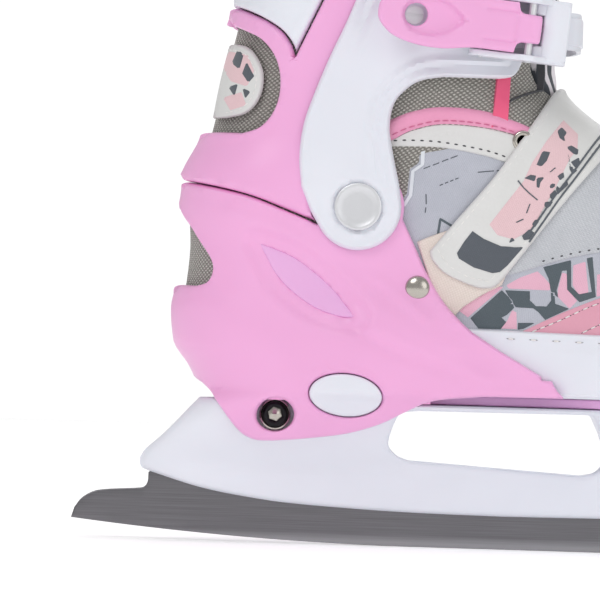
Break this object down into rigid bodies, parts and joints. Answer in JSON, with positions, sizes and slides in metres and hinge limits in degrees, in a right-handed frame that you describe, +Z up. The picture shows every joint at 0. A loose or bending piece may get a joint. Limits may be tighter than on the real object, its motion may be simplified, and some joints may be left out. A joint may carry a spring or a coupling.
{
  "type": "ice skate",
  "caption": "Child's adjustable soft-boot ice skate for the right foot: padded boot in a moulded shell on a steel blade, with a hinged cuff, a ratchet buckle and an instep strap.",
  "frame": {"origin": "middle of the footprint, on the ice under the blade", "axes": "+X towards the toe, +Y towards the inner side of the foot, +Z up"},
  "size_m": [0.2846, 0.106, 0.26],
  "materials": {
    "blade_steel": "dull ground stainless steel with fine lengthwise grinding lines",
    "white_plastic": "moulded white polypropylene, fine satin",
    "pink_plastic": "moulded pink polypropylene, fine satin",
    "grey_plastic": "moulded acetal",
    "black_steel": "black oxide steel",
    "nickel_steel": "nickel plated steel",
    "printed_textile": "printed polyester textile",
    "tongue_fabric": "padded printed polyester",
    "footbed_felt": "needled felt",
    "white_pu": "coated synthetic leather",
    "cream_webbing": "woven webbing",
    "mesh_liner": "coarse spacer mesh over foam"
  },
  "bodies": {
    "chassis": {"blade": "blade_steel", "blade_holder": "white_plastic", "heel_shell": "pink_plastic", "heel_bolt": "black_steel", "heel_bolt_washer": "nickel_steel", "heel_bolt_nut": "nickel_steel", "rail_screw_lateral": "nickel_steel", "rail_screw_medial": "nickel_steel", "size_guide": "grey_plastic", "boot_quarters": "printed_textile", "tongue_base": "tongue_fabric", "footbed": "footbed_felt", "instep_strap": "white_pu", "strap_anchor_lateral": "cream_webbing", "strap_anchor_medial": "cream_webbing", "shell_rivet_lateral": "nickel_steel", "shell_rivet_medial": "nickel_steel", "eyelet_lateral": "nickel_steel", "eyelet_medial": "nickel_steel", "pivot_rivet_lateral": "nickel_steel", "pivot_rivet_medial": "nickel_steel"},
    "toe": {"toe_shell": "white_plastic", "size_rack": "grey_plastic", "boot_vamp": "white_pu"},
    "button": {"size_button": "white_plastic", "size_latch": "grey_plastic"},
    "cuff": {"cuff_frame": "pink_plastic", "cuff_back_panel": "white_plastic", "cuff_wing_lateral": "white_plastic", "cuff_wing_medial": "white_plastic", "boot_shaft": "mesh_liner", "tongue": "tongue_fabric", "back_patch": "white_pu", "buckle_base": "white_plastic", "buckle_screw": "nickel_steel", "lever_pin": "nickel_steel", "lever_spring": "nickel_steel", "pawl_pin": "nickel_steel", "ladder_strap": "white_plastic", "ladder_screw": "nickel_steel"},
    "lever": {"buckle_lever": "pink_plastic"},
    "pawl": {"release_pawl": "white_plastic"}
  },
  "joints": [
    {"name": "cuff_flex", "type": "hinge", "parent": "chassis", "child": "cuff", "pos_m": [-0.03725, 0.00488, 0.128], "axis": [0, 1, 0], "range_deg": [0, 10]},
    {"name": "size_slide", "type": "slide", "parent": "chassis", "child": "toe", "axis": [1, 0, 0], "range_m": [0, 0.018]},
    {"name": "button_press", "type": "slide", "parent": "chassis", "child": "button", "axis": [0, 1, 0], "range_m": [0, 0.003], "stiffness_N_per_m": 900, "springref_m": -0.001},
    {"name": "lever_open", "type": "hinge", "parent": "cuff", "child": "lever", "pos_m": [0.02482, -0.04603, 0.1959], "axis": [0.0955, 0.0086, 0.9954], "range_deg": [0, 75]},
    {"name": "pawl_release", "type": "hinge", "parent": "cuff", "child": "pawl", "pos_m": [0.00756, -0.04307, 0.19753], "axis": [0.0955, 0.0086, 0.9954], "range_deg": [0, 12], "stiffness_Nm_per_rad": 0.05, "springref_deg": -5.73}
  ]
}
